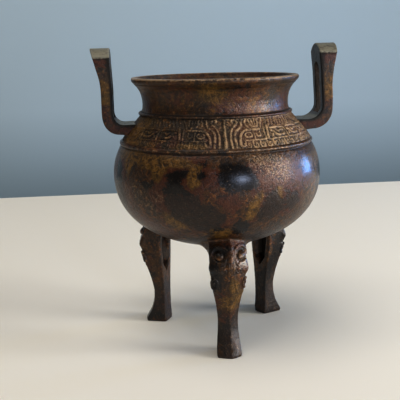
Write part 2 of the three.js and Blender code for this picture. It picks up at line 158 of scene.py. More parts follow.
def cast_mesh(name, grid, poles, masks):
    """Skin over a grid of points in mm whose columns run round and close on themselves. With poles, a
    middle point closes the first and the last row. Without, the last row joins the first, as on a ring.
    Each mask is one number a point, kept as an attribute for the finish. The faces point outwards, which
    the sign of the volume tells: the sum over the faces of their middle times their area vector."""
    rows, columns = grid.shape[:2]
    number = np.arange(rows * columns).reshape(rows, columns)
    low, high = (number[:-1], number[1:]) if poles else (number, np.roll(number, -1, 0))
    faces = np.stack([low, np.roll(low, -1, 1), np.roll(high, -1, 1), high], -1).reshape(-1, 4)
    points = grid.reshape(-1, 3) * MM
    corners = points[faces]
    across = np.cross(corners[:, 2] - corners[:, 0], corners[:, 3] - corners[:, 1])
    volume = np.sum(corners.mean(1) * across)
    caps = []
    if poles:
        points = np.concatenate([points, points[number[0]].mean(0)[None], points[number[-1]].mean(0)[None]])
        for row, middle, turn in ((number[0], rows * columns, -1), (number[-1], rows * columns + 1, 1)):
            fan = np.stack([row, np.roll(row, -1), np.full(columns, middle)], 1)[:, ::turn]
            caps += fan.tolist()
    if volume < 0:
        faces = faces[:, ::-1]
        caps = [cap[::-1] for cap in caps]
    mesh = bpy.data.meshes.new(name)
    mesh.from_pydata(points.tolist(), [], faces.tolist() + caps)
    mesh.shade_smooth()
    for mask, values in masks.items():
        flat = np.broadcast_to(values, (rows, columns)).astype(np.float32).ravel()
        if poles:
            flat = np.concatenate([flat, [flat[number[0]].mean(), flat[number[-1]].mean()]])
        mesh.attributes.new(mask, "FLOAT", "POINT").data.foreach_set("value", flat.astype(np.float32))
    piece = bpy.data.objects.new(name, mesh)
    bpy.context.scene.collection.objects.link(piece)
    return piece


def patches(azimuth, height, places):
    """The strongest of several round patches at each point, each a bell curve. A place is azimuth, height,
    half width in degrees and half height in mm."""
    shares = []
    for middle, level, width, tall in places:
        away = (azimuth - middle + 180) % 360 - 180
        shares.append(np.exp(-(away / width) ** 2 - ((height - level) / tall) ** 2))
    return np.max(shares, axis=0)


def to_side(x, y, start, end):
    """Distance of each point from the straight line between two others: to the foot of the upright on it,
    or to an end where the foot lies beyond."""
    run, rise = end[0] - start[0], end[1] - start[1]
    share = np.clip(((x - start[0]) * run + (y - start[1]) * rise) / max(run * run + rise * rise, TINY), 0, 1)
    return np.hypot(x - start[0] - share * run, y - start[1] - share * rise)


def stained(azimuth, height, outlines, fade):
    """How far inside any of several outlines a point lies: 0.5 on the line, 1 at fade mm inside, 0 at fade
    mm outside. The distance is the least one to the outline's sides, and a point is inside where a level
    line from it crosses the outline an odd number of times."""
    best = np.zeros(azimuth.shape)
    for outline in outlines:
        corners = np.array(outline, float)
        x = ((azimuth - corners[0, 0] + 180) % 360 - 180) * ROUND_MM
        y = height * RISE_MM
        ends = np.stack([(corners[:, 0] - corners[0, 0]) * ROUND_MM, corners[:, 1] * RISE_MM], 1)
        nearest, inside = np.full(x.shape, FAR), np.zeros(x.shape, bool)
        for start, end in zip(ends, np.roll(ends, -1, 0)):
            nearest = np.minimum(nearest, to_side(x, y, start, end))
            crossing = start[0] + (y - start[1]) * (end[0] - start[0]) / ((end[1] - start[1]) or TINY)
            inside ^= ((start[1] > y) != (end[1] > y)) & (x < crossing)
        best = np.maximum(best, soft_step(0.5 + np.where(inside, nearest, -nearest) / (2 * fade)))
    return best


def linear(colour):
    """An sRGB hex colour as linear red, green, blue and alpha."""
    parts = np.array([int(colour[i:i + 2], 16) for i in (1, 3, 5)]) / 255
    return (*np.where(parts <= 0.04045, parts / 12.92, ((parts + 0.055) / 1.055) ** 2.4), 1)


def add(tree, kind, links=None, **settings):
    """A node of one kind with its settings. What goes into it is keyed by the input's name or number, and is
    another node's output, a number or a colour."""
    made = tree.nodes.new(kind)
    for key, value in settings.items():
        setattr(made, key, value)
    for key, value in (links or {}).items():
        socket = made.inputs[key]
        if isinstance(value, bpy.types.NodeSocket):
            tree.links.new(value, socket)
        else:
            socket.default_value = value
    return made


# Patinated cast bronze: brown oxide over a dark metal, rubbed to a soft gloss. The eye sees dark
# brown mottled with red-brown and golden olive, near-black stains, dust in the hollows and bare,
# paler metal on the edges that hands and cloth have worn. Where a piece's marks say so, the pale
# layer also paints highlights, glints and reflections, and the near-black layer paints shade.
BROWN = "#42280d"
RED_BROWN = "#46200f"
OLIVE_GOLD = "#5f4412"
FLAKE_GOLD = "#765423"
ORANGE_BROWN = "#7a4719"
DARK_RED = "#2e110a"
STAIN = "#0b0809"
GREY_BROWN = "#1f1611"
DUST_AND_SHEEN_TAN = "#a58a6c"
HOLLOW_BLACK = "#0a0604"
# Four sizes of noise in the patina: size in mm, detail, roughness, distortion
CLOUDS = {
    "broad": (20, 5, 0.65, 0.6),
    "middle": (5.5, 8, 0.72, 0.9),
    "small": (2.2, 5, 0.7, 0.5),
    "speck": (0.8, 2, 0.6, 0),
}
MARKS = ["stain", "grey", "gold", "red", "hollow", "worn", "pit_glints", "polish"]
# Layers of colour from the bottom up: a noise and its weight, what is added to it, the range of the
# sum over which the layer comes in, and how much of it covers at most
LAYERS = [
    ("middle", 0.6, "broad", 0.78, 0.9, 0.9, RED_BROWN),
    ("middle", 1.0, None, 0.5, 0.64, 0.6, OLIVE_GOLD),
    ("middle", -0.6, "broad", 0.22, 0.1, 0.75, GREY_BROWN),
    ("small", 1.0, None, 0.56, 0.66, 0.5, FLAKE_GOLD),
    ("small", 1.0, "middle", 1.06, 1.2, 0.7, ORANGE_BROWN),
    ("small", -1.0, "middle", 0.07, 0.17, 0.6, DARK_RED),
    ("small", 2.0, "red", 1.4, 1.7, 0.85, RED_BROWN),
    ("middle", 1.6, "gold", 1.2, 1.5, 0.7, OLIVE_GOLD),
    ("middle", 3.0, "grey", 1.9, 2.2, 0.88, GREY_BROWN),
    ("middle", 3.0, "stain", 1.9, 2.1, 0.96, STAIN),
    ("small", 4.0, "gold", 2.95, 3.2, 0.8, FLAKE_GOLD),
    ("small", -1.0, None, -0.5, -0.38, 0.7, STAIN),
    ("speck", -1.0, None, -0.48, -0.32, 0.5, STAIN),
    # Pale flecks over the pitted places are painted glints of light on the pits
    ("speck", 5.0, "pit_glints", 3.1, 4.2, 0.45, "dust"),
    # The pale layer on worn places is dust and rubbed metal, and also painted highlight on lit tops and sides
    ("small", 2.4, "worn", 1.5, 2.3, 0.9, "dust"),
    # The near-black layer is patina in hollows, and also painted shade in recesses, corners and under
    # overhangs
    ("speck", 0.6, "hollow", 0.4, 1.3, 0.94, HOLLOW_BLACK),
]
# Running sums of noise and marks: where each starts, whether it is held between 0 and 1, and its values
# with their weights. The roughness starts from the piece's own. Stained and polished places are smoother.
SUMS = {
    "roughness": (-0.25, False,
                  [("middle", 0.3), ("small", 0.2), ("hollow", 0.3), ("stain", -0.1), ("polish", -0.12)]),
    "height": (0.0, False, [("small", 1.0), ("speck", 0.35)]),
    "relief": (0.85, True, [("stain", -0.75), ("polish", -0.75)]),
    "coat": (0.04, False, [("polish", 0.6)]),
}
RELIEF_MM = 0.55
METALLIC = 0.25
COAT_ROUGHNESS = 0.16
# The colour inputs and output of a mix node go by number, as its other kinds share their names
MIX_UNDER, MIX_OVER, MIX_RESULT = 6, 7, 2


def patinated_bronze(name, roughness, base=BROWN, dust=DUST_AND_SHEEN_TAN):
    """Bronze with a patina, built up from the layers. A layer's share is a soft step over its range of noise
    times weight plus another noise or a mark, so noise breaks the edges of the marks."""
    finish = bpy.data.materials.new(name)
    finish.use_nodes = True
    tree = finish.node_tree
    tree.nodes.clear()
    place = add(tree, "ShaderNodeTexCoord").outputs["Object"]
    value = {None: 0.0}
    for key, (size, detail, rough, twist) in CLOUDS.items():
        value[key] = add(tree, "ShaderNodeTexNoise", {
            "Vector": place, "Scale": 1 / (size * MM), "Detail": detail, "Roughness": rough,
            "Distortion": twist}).outputs["Fac"]
    for key in MARKS:
        value[key] = add(tree, "ShaderNodeAttribute", attribute_name=key).outputs["Fac"]
    colour = linear(base)
    for cloud, weight, other, low, high, most, tint in LAYERS:
        total = add(tree, "ShaderNodeMath", {0: value[cloud], 1: weight, 2: value[other]},
                    operation="MULTIPLY_ADD").outputs[0]
        share = add(tree, "ShaderNodeMapRange", {
            "Value": total, "From Min": low, "From Max": high, "To Max": most},
            interpolation_type="SMOOTHSTEP").outputs[0]
        tint = linear(dust if tint == "dust" else tint)
        colour = add(tree, "ShaderNodeMix", {"Factor": share, MIX_UNDER: colour, MIX_OVER: tint},
                     data_type="RGBA").outputs[MIX_RESULT]
    sums = {}
    for key, (start, held, parts) in SUMS.items():
        total = roughness + start if key == "roughness" else start
        for part, weight in parts:
            total = add(tree, "ShaderNodeMath", {0: value[part], 1: weight, 2: total},
                        operation="MULTIPLY_ADD", use_clamp=held).outputs[0]
        sums[key] = total
    bump = add(tree, "ShaderNodeBump", {
        "Height": sums["height"], "Strength": sums["relief"], "Distance": RELIEF_MM * MM})
    shader = add(tree, "ShaderNodeBsdfPrincipled", {
        "Base Color": colour, "Roughness": sums["roughness"], "Normal": bump.outputs[0],
        "Metallic": METALLIC, "Coat Weight": sums["coat"], "Coat Roughness": COAT_ROUGHNESS})
    add(tree, "ShaderNodeOutputMaterial", {"Surface": shader.outputs[0]})
    return finish


outside = np.concatenate([belly_curve(0, BOWL_OUTSIDE[0][1], 90), BOWL_OUTSIDE[1:]])
inside = np.concatenate([BOWL_INSIDE, belly_curve(WALL, BOWL_INSIDE[-1][1], 60)[::-1]])
bowl_outline = softened(fine_outline(np.concatenate([outside, inside]), OUTLINE_STEP), OUTLINE_BLURS)
bowl_outline[[0, -1], 0] = 0
outline_z = bowl_outline[:, 1]
along = np.arange(len(bowl_outline)) * OUTLINE_STEP
lip_at = along[np.argmax(outline_z)]
crisp = (outline_z > RIDGE_LEVEL) * (along < lip_at + LIP_REACH)
neck = outline_z > NECK_LEVEL
bowl_detail = ROW_DETAIL["belly"] + ROW_DETAIL["ridge"] * crisp + ROW_DETAIL["neck"] * neck
bowl_detail = np.where(along > lip_at + INSIDE_REACH, ROW_DETAIL["inside"], bowl_detail)
bowl_section = spread_rows(bowl_outline, bowl_detail, BOWL_ROWS)[1:-1]
bowl_turn = np.linspace(0, 2 * math.pi, BOWL_COLUMNS, endpoint=False)


def hand_work(azimuth, height):
    """The slight unevenness of a hand-finished wall, in mm: the sum of slow sine waves of turn and height."""
    return sum(size * np.sin(count * azimuth + climb * height + start)
               for size, count, climb, start in HAND_WAVES)


bowl_r, bowl_z = bowl_section[:, 0, None], bowl_section[:, 1, None]
bowl_radius = bowl_r + hand_work(bowl_turn, bowl_z) * np.clip(bowl_r / BELLY_RADIUS, 0, 1)
bowl_height = bowl_z + 0 * bowl_turn
bowl_azimuth = np.degrees(bowl_turn) + 0 * bowl_z
bowl_grid = round_grid(bowl_radius, bowl_turn, bowl_height)
is_outside = (np.arange(len(bowl_section)) < np.argmax(bowl_section[:, 1]))[:, None] + 0 * bowl_turn

# Outlines of the marks on the belly, as azimuth in degrees and height in mm
BLACK_MARKS = [
    [(-6, 105), (-4, 107), (1, 107.5), (6, 107), (10, 105), (13.5, 101), (14.5, 98), (12, 93.5), (8, 93),
     (3, 94), (-2, 95), (-5, 98)],
    [(-32, 102), (-27, 104), (-21, 104), (-22.5, 101), (-24, 98), (-22, 95), (-19, 93.5), (-23, 92),
     (-29, 92), (-33, 94), (-31, 98)],
    [(2, 75), (5, 79), (9, 77.5), (12, 74), (11, 70.5), (6, 67.5), (2, 69)],
    [(-51, 97), (-45, 97.5), (-40, 98), (-41, 95), (-45, 94), (-49, 95)],
    [(-15.5, 108.5), (-11.5, 109), (-10, 106.5), (-12.5, 105.5)],
    [(-16.5, 103), (-13, 103.5), (-11, 101.5), (-14, 100)],
    [(-9, 73), (-3, 73), (-4, 71), (-8, 71)],
]
GREY_MARKS = [
    [(-33, 94), (-27, 93), (-20, 93), (-16, 92), (-14, 88), (-10, 86), (-4, 84), (0, 81), (-2, 77), (-6, 74),
     (-13, 71), (-19, 72), (-25, 76), (-32, 79), (-34, 86)],
    [(19, 91), (23, 93), (27, 89), (31, 85), (30, 81), (26, 77), (18, 76), (13, 74), (16, 83)],
    [(30, 92), (38, 90), (44, 84), (37, 79), (31, 83)],
    [(-57, 106), (-54, 106.5), (-52.5, 104), (-54, 101), (-57, 101.5), (-58, 104)],
]
GOLD_MARKS = [
    [(-55, 109.5), (-44, 111), (-33, 111), (-24, 110.5), (-19, 109), (-20, 106), (-24, 105), (-31, 105),
     (-34, 101), (-37, 97), (-40, 98), (-43, 103), (-50, 104)],
    [(22.5, 95), (28, 94), (29, 89), (28, 84), (25.5, 88)],
    [(12, 92), (16, 93), (19, 92), (16, 87), (15, 81), (12, 77), (8, 76), (8.5, 83), (11, 89)],
    [(-13, 74), (-4, 74), (3, 71.5), (0, 66), (-10, 66)],
    [(-21, 103.5), (-19, 107), (-15, 108), (-13, 106), (-15, 103), (-14, 97), (-19, 94), (-22, 97)],
    [(-36, 84), (-28, 78), (-22, 73), (-30, 71), (-37, 76)],
]
RED_MARKS = [
    [(-13, 105), (-6, 105), (-4, 101), (-6, 95), (-11, 95), (-14, 99)],
    [(10.5, 92.5), (12, 94), (14, 92.5), (12.5, 90.5)],
    [(-88, 110), (-62, 110), (-60, 98), (-54, 90), (-58, 80), (-84, 84)],
    [(-4, 93), (4, 92), (7, 86), (2, 81), (-3, 85), (-9, 88)],
    [(30, 104), (46, 108), (58, 100), (50, 92), (36, 96)],
]
TAN_MARKS = [[(-51, 92), (-34, 95), (-33, 90), (-36, 83), (-45, 79), (-49, 82), (-52, 87)]]
# The pitted place high on the right of the belly: pale flecks there are painted glints of its pits
PITTED_MARKS = [[(8, 112.5), (19, 113), (28, 111), (36, 106), (34, 98), (28, 94), (23, 99), (17, 102),
                 (9, 107)]]
# The sides and the back carry the same kinds of mark in other places: a turn, a lift, and 1 or -1 for
# a mirrored outline. Only the first few outlines of a kind come again.
OTHER_SIDES = [(96, -3, 1), (150, 2, -1), (205, -5, 1), (262, 1, -1)]
REPEATED = 3
# Smaller soft marks: strength, then places as azimuth, height, half width in degrees, half height in mm
BOWL_PATCHES = {
    "stain": (0.6, [(8, 144, 14, 2.5), (-4, 112, 4, 1.5)]),
    "gold": (0.7, [(-10, 141, 8, 4), (150, 140, 20, 4)]),
    "red": (0.6, [(0, 131, 20, 2), (34, 131, 12, 3)]),
    "belly polish": (0.9, [(52, 99, 11, 12), (-100, 98, 14, 12), (170, 100, 12, 12)]),
    "neck polish": (0.6, [(36, 138, 9, 7), (-140, 138, 14, 7)]),
    # Painted reflection: the pale patch on the left of the lip's top stands for light it reflects
    "lip reflection": (0.5, [(-75, 147.5, 30, 3)]),
}
# Dark lines, partly black patina in grooves and partly painted shade in the corners under the ridge
# bead, above the collar and under the lip; and edges rubbed pale: height, half width and strength
GROOVE_AND_SHADE_LINES = [(111.4, 0.35, 0.7), (129.75, 0.3, 1), (128.0, 0.2, 0.8), (144.8, 0.3, 0.6)]
RUBBED_EDGES = [(112.9, 0.4, 0.5), (128.9, 0.4, 0.3)]
COLLAR_LEVEL = 128
# Height under which the belly's underside takes painted shade
SHADED_UNDERSIDE_LEVEL = 76
OUTER_LIP_LEVEL = 147.1
INNER_LIP_LEVEL = 147.7
LIP_FADE = 0.6


def on_belly(outlines, fade):
    """The share of a kind of mark on the outer wall: the softened insides of its outlines at the front, and
    of the first few of them again on the other sides."""
    moved = [[(azimuth * side + turn, height + lift) for azimuth, height in outline]
             for outline in outlines[:REPEATED] for turn, lift, side in OTHER_SIDES]
    return stained(bowl_azimuth, bowl_height, outlines + moved, fade) * is_outside


def bowl_patches(kind):
    """A kind of smaller mark on the bowl: its strength times the strongest of its round patches."""
    strength, places = BOWL_PATCHES[kind]
    return strength * patches(bowl_azimuth, bowl_height, places)


def level_lines(lines):
    """Soft lines round the bowl, the sum of strength times a bell curve across each height."""
    return sum(strength * bell(bowl_height - height, width) for height, width, strength in lines)


# Strength of each mark at each point. The fade in mm follows the outlines' name, and the neck carries
# seven upright streaks of red.
on_neck = soft_step((bowl_height - COLLAR_LEVEL) / 2)
# Painted shade: the belly's underside turns grey-brown towards the bottom
shaded_underside = soft_step((SHADED_UNDERSIDE_LEVEL - bowl_height) / 12) * is_outside
streaks = 0.35 * np.sin(np.radians(bowl_azimuth) * 7 + 0.5) * on_neck
outer_lip = soft_step((bowl_height - OUTER_LIP_LEVEL) / LIP_FADE)
inner_lip = soft_step((bowl_height - INNER_LIP_LEVEL) / LIP_FADE)
# The lip's top is pale with wear, and on the left with painted reflection
outer_wear_and_sheen = level_lines(RUBBED_EDGES) + (0.7 + bowl_patches("lip reflection")) * outer_lip
bowl_masks = {
    "stain": on_belly(BLACK_MARKS, 3) + bowl_patches("stain"),
    "grey": np.clip(on_belly(GREY_MARKS, 3.4) + 0.55 * shaded_underside, 0, 1),
    "gold": on_belly(GOLD_MARKS, 3.4) + bowl_patches("gold") + 0.4 * on_neck,
    "red": np.clip(on_belly(RED_MARKS, 4) + streaks + bowl_patches("red"), 0, 1),
    "pit_glints": on_belly(PITTED_MARKS, 4.5) + 0.4 * on_belly(TAN_MARKS, 3),
    "polish": bowl_patches("belly polish") + bowl_patches("neck polish"),
    # Painted shade: the whole inside takes a little of the hollow black
    "hollow": np.where(is_outside > 0, level_lines(GROOVE_AND_SHADE_LINES), 0.3),
    "worn": np.where(is_outside > 0, outer_wear_and_sheen, 0.75 * inner_lip) + 0.3 * on_belly(TAN_MARKS, 4),
}
bowl = cast_mesh("bowl", bowl_grid, True, bowl_masks)
bowl.data.materials.append(patinated_bronze("rubbed_brown_bronze", BOWL_ROUGHNESS))
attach(bowl, "root")
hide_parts("ding")

# Shoulder band: the carved ring between collar and ridge, cast in one with the bowl. Two masks, at the
# front and the back, each have a nose ridge, eyes and C-scrolls. Square hooks and small spirals fill
# the rest, and two rows of smaller lines border it above and below.
NOSE_AZIMUTHS = (-1.2, 178.8)
BAND_MEAN_RADIUS = 48
BAND_OUTLINE = [
    (42.6, 128.2), (42.75, 127.6), (43.3, 126.7), (44.9, 124.9), (47.1, 122.5), (49.3, 119.9), (51.3, 117.3),
    (52.9, 114.9), (53.7, 113.5),
]
BAND_COLUMNS = 1080
BAND_ROWS = 70
BAND_BACK_ROWS = 6
BAND_THICKNESS = 1.4
BAND_STEP = 0.05
BAND_BLURS = 60
GROUND_DEPTH = 0.4
LINE_EDGE = 0.22
CAST_GRAIN = 0.055
BAND_GRAIN_SEED = 11
BAND_ROUGHNESS = 0.56
BAND_BROWN = "#33230e"
BAND_DUST_AND_SHEEN = "#a88c6a"


def bent(path):
    """A path with its corners rounded: each corner is cut at a quarter and three quarters of its sides,
    three times over, and the ends stay."""
    path = np.array(path, float)
    for _ in range(3):
        first, last = path[:-1] * 0.75 + path[1:] * 0.25, path[:-1] * 0.25 + path[1:] * 0.75
        path = np.concatenate([path[:1], np.stack([first, last], 1).reshape(-1, 2), path[-1:]])
    return path


def raised_line(x, y, path, width, height):
    """Height of a cast line over a surface: full near its path, falling off as a soft step at half its width.
    The distance to a path is the least distance to its straight pieces."""
    path = np.array(path, float)
    nearest = np.full(np.broadcast(x, y).shape, FAR)
    for start, end in zip(path[:-1], path[1:]):
        nearest = np.minimum(nearest, to_side(x, y, start, end))
    return height * soft_step((width / 2 + LINE_EDGE - nearest) / (2 * LINE_EDGE))


def boss(x, y, middle, radii, height):
    """A round knob: the upper half of an ellipsoid with the given half width and half height."""
    away = ((x - middle[0]) / radii[0]) ** 2 + ((y - middle[1]) / radii[1]) ** 2
    return height * np.sqrt(np.clip(1 - away, 0, 1))


def ring_line(x, y, middle, radii, width, height):
    """A raised oval ring: a cast line along the middle plus radii times cosine and sine."""
    turn = np.linspace(0, 2 * math.pi, 25)
    path = np.stack([middle[0] + radii[0] * np.cos(turn), middle[1] + radii[1] * np.sin(turn)], 1)
    return raised_line(x, y, path, width, height)


SCROLL = 0.6
LINE = 0.5
SMALL = 0.36
# Lines of half a mask: mm round from the nose and mm down from the collar, then width and height
HALF_MASK = [
    # the C-scroll: brow bar, inner rib with its hook, and the two outer ribs that run up to the rim
    ([(18.9, 6.8), (11.6, 6.8), (9.4, 8), (8, 9.7), (7.3, 12), (7.2, 14.4), (7, 16.2), (8.8, 16.6),
      (9.2, 15.2)], 1.25, SCROLL),
    ([(10.5, 0.3), (9.6, 1.5), (9.7, 3.2), (8.8, 4.9), (6.7, 6.4), (5.1, 8.4), (4.8, 11), (5.0, 14),
      (5.2, 16.8)], 1.15, LINE),
    ([(4.5, 1.9), (4.1, 0.5), (5.9, 0.5), (7.2, 1.3), (7.1, 2.6), (5.9, 3.7), (4.6, 5.2), (3.5, 7),
      (2.9, 9.4), (2.7, 12), (2.9, 15), (3.1, 17)], 1.0, LINE),
    # leaves and the U between the scroll and the side hooks
    ([(12.6, 0.5), (11.6, 2.1), (11.9, 3.7), (12.9, 5.2)], 1.0, SMALL),
    ([(14.3, 0.8), (14.4, 3), (15.3, 5.1), (17.9, 5.2), (19.3, 4.2), (19.7, 0.4)], 1.1, LINE),
    ([(16.1, 1.2), (16.2, 3.6)], 0.7, SMALL),
    ([(17.9, 0.7), (17.9, 2), (17.6, 3.9)], 0.7, SMALL),
    ([(22.9, 0.5), (21.8, 2.3), (20.9, 3.8), (20.4, 5.4)], 1.0, SMALL),
    # hook and thin bar beside the eye
    ([(15.1, 8), (15.1, 12.8)], 0.8, LINE),
    ([(18.6, 8.2), (18.6, 10.4), (17.7, 11.1), (16.5, 10.9), (16.4, 9.6)], 0.9, LINE),
    ([(9.3, 13.1), (20.4, 13.1)], 0.65, LINE),
    # the pair of bars that end the face
    ([(24.2, 5.4), (23.5, 7.8), (22.8, 10.6), (22.4, 13)], 1.35, SCROLL),
    ([(21.7, 5.8), (21.2, 8.5), (21, 13)], 0.95, LINE),
]
HOOK_PITCH = 12.2
HOOKS = [
    ([(25.8, 6.5), (33.8, 6.5), (35.6, 7.4), (36.2, 9.4), (36.1, 12.8)], 0.9, SCROLL),
    ([(25.9, 8.3), (27.3, 8.9), (28.4, 11.2), (31.2, 11.5), (33.6, 11.2)], 1.2, SCROLL),
    ([(34.2, 8.5), (31.6, 8.5), (30.6, 9.6), (29.3, 8.4)], 0.9, LINE),
    ([(25.9, 11.4), (26.4, 10.2)], 0.8, SMALL),
]
HOOK_COUNT = 4
RELIEF_END = 73
# The two borders: small spirals below and slanting teeth above, each over its own stretch of the band
SPIRAL = [(0, 13.6), (0, 16.5), (0.5, 17.1), (2.1, 17.1), (2.4, 16.4), (2.3, 15), (1.2, 14.9), (1.2, 15.9)]
SPIRAL_WIDTH = 0.7
SPIRALS_AT = np.arange(9.6, RELIEF_END - 3, 3.7)
COMB = [(0, 0.5), (-0.35, 2.3), (-1.7, 4.7)]
COMB_WIDTH = 0.8
COMBS_AT = np.arange(25.6, RELIEF_END, 2.35)
ROW_LINES = [
    ([(22.6, 13.1), (RELIEF_END, 13.1)], 0.7, SMALL),
    ([(22.6, 5.4), (RELIEF_END, 5.4)], 0.4, SMALL * 0.7),
]
NOSE_RIDGE = 1.1
# The eye's place, and the half sizes, width and height of the ring and the ball in it
EYE_PLACE = (12, 10)
EYE_RING = ((1.8, 1.4), 0.9, SCROLL)
EYE_BALL = ((1.0, 0.85), SCROLL * 0.75)
# The carving is worn low beyond this distance from the nose
BAND_WEAR = 0.6
BAND_WEAR_FROM = 44
BAND_WEAR_OVER = 14


def cast_grain(shape, seed, blurs, wrap_rows):
    """The fine roughness that a casting keeps: seeded noise blurred over a few grid points, from about
    -1 to 1."""
    grain = np.random.default_rng(seed).standard_normal(shape)
    grain = softened(softened(grain, blurs, 1, True), blurs, 0, wrap_rows)
    return grain / grain.std() / 2


def band_relief(x, y):
    """Height of the band's carving in mm, x mm round from the nose and y mm down from the collar: the
    highest of all its lines and knobs over a sunk ground."""
    drawn = HALF_MASK + ROW_LINES
    drawn += [(np.array(path) + [step * HOOK_PITCH, 0], width, height)
              for step in range(HOOK_COUNT) for path, width, height in HOOKS]
    drawn += [(np.array(SPIRAL) + [at, 0], SPIRAL_WIDTH, SMALL) for at in SPIRALS_AT]
    drawn += [(np.array(COMB) + [at, 0], COMB_WIDTH, SMALL * 0.6) for at in COMBS_AT]
    lines = [raised_line(x, y, bent(path), width, height) for path, width, height in drawn]
    lines.append(ring_line(x, y, EYE_PLACE, *EYE_RING))
    lines.append(boss(x, y, EYE_PLACE, *EYE_BALL))
    carved = np.max(lines, axis=0)
    half = 0.5 + 0.55 * soft_step((y - 1) / 8)
    nose = NOSE_RIDGE * np.clip(1 - x / half, 0, 1) ** 0.7 * soft_step(y / 1.5)
    wear = 1 - BAND_WEAR * soft_step((x - BAND_WEAR_FROM) / BAND_WEAR_OVER)
    edge = soft_step(y / 0.6) * soft_step((BAND_LENGTH - y) / 0.7)
    return (np.maximum(carved * wear, nose) - GROUND_DEPTH) * edge


band_line = softened(fine_outline(BAND_OUTLINE, BAND_STEP), BAND_BLURS)
band_along = length_along(band_line)
BAND_LENGTH = band_along[-1]
band_down = np.linspace(0, BAND_LENGTH, BAND_ROWS)
band_front = points_at(band_down, band_along, band_line)
band_slope = np.gradient(band_front, axis=0)
band_normal = np.stack([-band_slope[:, 1], band_slope[:, 0]], 1) / np.hypot(*band_slope.T)[:, None]
band_turn = np.linspace(-180, 180, BAND_COLUMNS, endpoint=False)
from_nose = np.min([np.abs((band_turn - nose + 180) % 360 - 180) for nose in NOSE_AZIMUTHS], axis=0)
from_nose_mm = np.radians(from_nose) * BAND_MEAN_RADIUS
relief = band_relief(from_nose_mm[None, :], band_down[:, None])
# Height above the carving round about: low in the grooves, high on the crests
crest = relief - softened(softened(relief, 16, 1, True), 16, 0)
# The right side of the front mask has been rubbed more than the left
rubbed = soft_step((band_turn + 38) / 60) * soft_step((150 - band_turn) / 60)
grain = cast_grain(relief.shape, BAND_GRAIN_SEED, 1, False)
grain_height = CAST_GRAIN * (1 + 0.7 * rubbed) * grain * soft_step(band_down / 0.8)[:, None]
relief = relief * (1 - 0.4 * rubbed) + grain_height
front = band_front[:, None, :] + band_normal[:, None, :] * relief[:, :, None]
back_rows = np.linspace(BAND_ROWS - 1, 0, BAND_BACK_ROWS).astype(int)
behind = (band_front - band_normal * BAND_THICKNESS)[back_rows]
behind = np.broadcast_to(behind[:, None, :], (BAND_BACK_ROWS, BAND_COLUMNS, 2))
band_section = np.concatenate([front, behind])
band_radius, band_height = band_section[..., 0], band_section[..., 1]
band_grid = round_grid(band_radius, np.radians(band_turn), band_height)
band_azimuth = band_turn + 0 * band_height
crest = np.concatenate([crest + 0.04 * grain, np.zeros((BAND_BACK_ROWS, BAND_COLUMNS))])
# The hollows of the middle row, between the two borders, take the most black: patina in the hollows,
# deepened by painted shade under its deep-cut bars
shaded_middle_row = soft_step((122.6 - band_height) / 1.2) * soft_step((band_height - 115.6) / 1.2)
band_masks = {
    "hollow": soft_step((-0.03 - crest) / 0.2) * (0.5 + 0.5 * shaded_middle_row) * (1 - 0.5 * rubbed),
    "worn": soft_step((crest + 0.12) / 0.38) * (0.36 + 0.2 * rubbed) + 0.32 * rubbed,
    # Pale flecks on the band are painted glints, more on the right
    "pit_glints": 0.35 + 0.5 * rubbed + 0 * crest,
    "gold": 0.35 + 0.65 * patches(band_azimuth, band_height, [
        (-66, 121, 14, 8), (-20, 115, 7, 2), (130, 120, 20, 6)]),
    "red": patches(band_azimuth, band_height, [
        (-8, 119, 6, 8), (12, 121, 12, 7), (-30, 118, 6, 4), (180, 119, 14, 7)]),
}
band = cast_mesh("shoulder_band", band_grid, False, band_masks)
# Carved bronze that nothing rubs: the eye sees dull dark ground, and pale dust that draws the crests
band.data.materials.append(patinated_bronze("carved_dusty_bronze", BAND_ROUGHNESS, BAND_BROWN, BAND_DUST_AND_SHEEN))
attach(band, "root")
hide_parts("ding")

# Ears: two flat bars cast onto the shoulder at the sides. Each runs out level, turns up in a round
# bend, thickens towards an arched crown, and is pierced through as a tall loop. Being cast by hand,
# the left one stands closer to the neck than the right one.
EAR_TURNS = {"ear_right": -1.5, "ear_left": -0.6}
EAR_HALF = 11.25
EAR_ROOT_LENGTH = 7.5
EAR_BEND_LENGTH = 13.6
EAR_INNER_BEND = {"x": 51, "z": 130.3, "radius": 6.9}
EAR_OUTER_BEND = {"x": 53.5, "z": 128.5, "radius": 10.3}
EAR_ROOT_INNER = (44.2, 123.5)
EAR_ROOT_OUTER = (48.2, 117.6)
# Distance of the bar's inner and outer face from the vessel's axis, as height and distance
EAR_FACES = {
    "ear_right": {
        "inner": [(126, 58.5), (130, 58.8), (134, 58.7), (142, 58.2), (150, 57.8), (158, 56.9), (165, 56.6)],
        "outer": [(126, 64.2), (131, 64.6), (136, 64.5), (141, 64.2), (146, 64.5), (151, 65.2), (157, 66.3),
                  (161, 67), (165, 67.5)]},
    "ear_left": {
        "inner": [(126, 57), (130, 56.9), (134, 56.9), (142, 56.8), (150, 57.1), (158, 57.4), (165, 57.4)],
        "outer": [(126, 62.8), (131, 63), (136, 62.9), (141, 62.9), (146, 63.4), (151, 64.8), (158, 66.6),
                  (163, 68.4), (165, 68.9)]},
}
EAR_FACE_STEP = 0.25
EAR_FACE_BLURS = 60
EAR_LEVELLING = 12
EAR_SPRING = 160.2
EAR_TOP = 164.7
SLOT_HALF = 5.5
SLOT_TOP = 154.5
SLOT_LOW = 16.2
EAR_ROUND = 0.6
SLOT_ROUND = 0.5
# The crown's corners stand out a little, and a painted shadow line runs just under it
CROWN_CORNER = 0.3
CROWN_SHADOW_DROP = 1.2
EAR_ROUGHNESS = 0.45
EAR_BROWN = "#38291a"
EAR_DUST_AND_SHEEN = "#807d6e"


def along_ear(height):
    """Distance along the bar from its root to a height on its upright."""
    return EAR_ROOT_LENGTH + EAR_BEND_LENGTH + height - EAR_INNER_BEND["z"]


